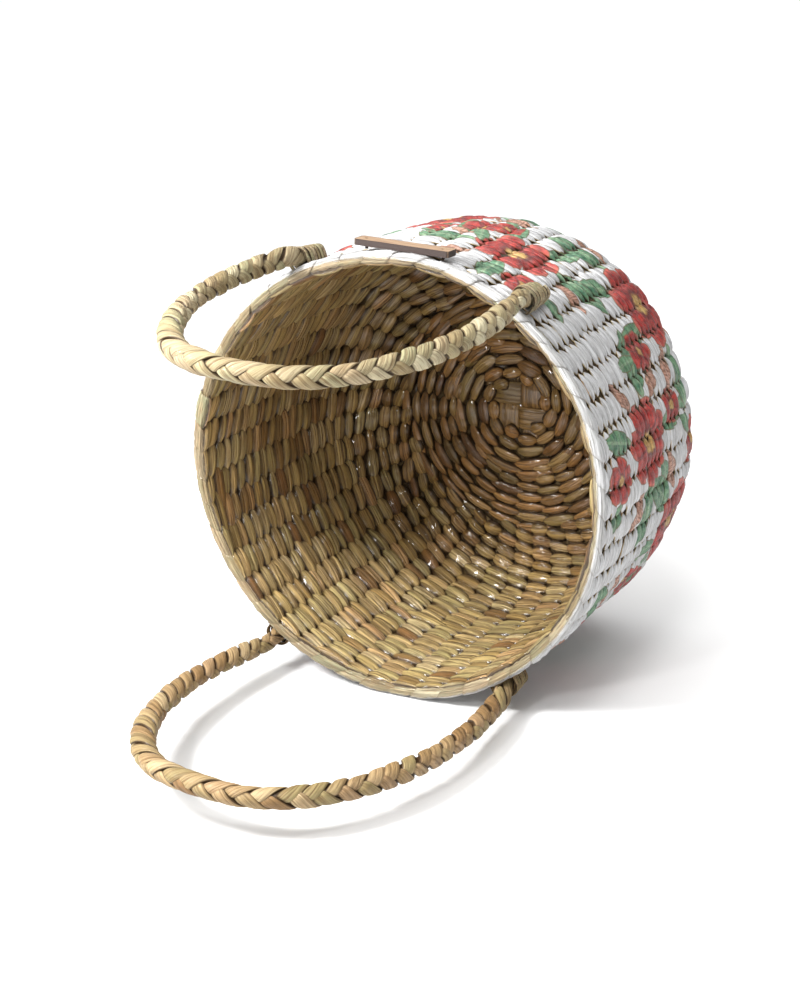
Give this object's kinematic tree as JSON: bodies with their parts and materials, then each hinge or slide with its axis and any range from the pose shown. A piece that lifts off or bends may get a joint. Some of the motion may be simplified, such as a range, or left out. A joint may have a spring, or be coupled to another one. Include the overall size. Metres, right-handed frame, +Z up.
{
  "type": "round hamper basket",
  "caption": "Round woven grass hamper basket, painted outside and bare inside, with two braided loop handles that swing and a small wooden name plate behind the rim.",
  "frame": {"origin": "middle of the bounding box on the surface that the basket lies on", "axes": "+Y along the basket's axis from the mouth to the base, +Z up, +X to the right seen from the mouth"},
  "size_m": [0.302, 0.4438, 0.3073],
  "materials": {
    "painted_grass": "white painted woven grass with a printed floral decoration, satin varnish",
    "bare_grass": "varnished natural grass",
    "braid_grass": "natural braided grass, dry satin",
    "plate_wood": "bare plywood with scorched cut edges",
    "tie_cord": "thin dark cord"
  },
  "bodies": {
    "basket": {"outer_weave": "painted_grass", "inner_weave": "bare_grass", "stake_01": "bare_grass", "stake_02": "bare_grass", "stake_03": "bare_grass", "stake_04": "bare_grass", "stake_05": "bare_grass", "stake_06": "bare_grass", "stake_07": "bare_grass", "stake_08": "bare_grass", "stake_09": "bare_grass", "stake_10": "bare_grass", "stake_11": "bare_grass", "stake_12": "bare_grass", "stake_13": "bare_grass", "stake_14": "bare_grass", "stake_15": "bare_grass", "stake_16": "bare_grass", "stake_17": "bare_grass", "stake_18": "bare_grass", "stake_19": "bare_grass", "stake_20": "bare_grass", "stake_21": "bare_grass", "stake_22": "bare_grass", "stake_23": "bare_grass", "stake_24": "bare_grass", "rim_border": "painted_grass", "base_weave": "bare_grass", "plait_strand_1": "bare_grass", "plait_strand_2": "bare_grass", "plait_strand_3": "bare_grass", "plait_strand_4": "bare_grass", "upper_left_bound_end": "braid_grass", "upper_right_bound_end": "braid_grass", "lower_left_bound_end": "braid_grass", "lower_right_bound_end": "braid_grass", "upper_left_lashing": "braid_grass", "upper_right_lashing": "braid_grass", "lower_left_lashing": "braid_grass", "lower_right_lashing": "braid_grass", "name_plate": "plate_wood", "plate_tie_left": "tie_cord", "plate_tie_right": "tie_cord"},
    "upper_handle": {"upper_handle": "braid_grass"},
    "lower_handle": {"lower_handle": "braid_grass"}
  },
  "joints": [
    {"name": "upper_handle_swing", "type": "hinge", "parent": "basket", "child": "upper_handle", "pos_m": [0.00905, 0.00689, 0.28729], "axis": [-0.9978, 0, 0.0663], "range_deg": [-32, 98]},
    {"name": "lower_handle_swing", "type": "hinge", "parent": "basket", "child": "lower_handle", "pos_m": [-0.00511, 0.00689, 0.01801], "axis": [-0.9993, 0, 0.0384], "range_deg": [-98, 26]}
  ]
}
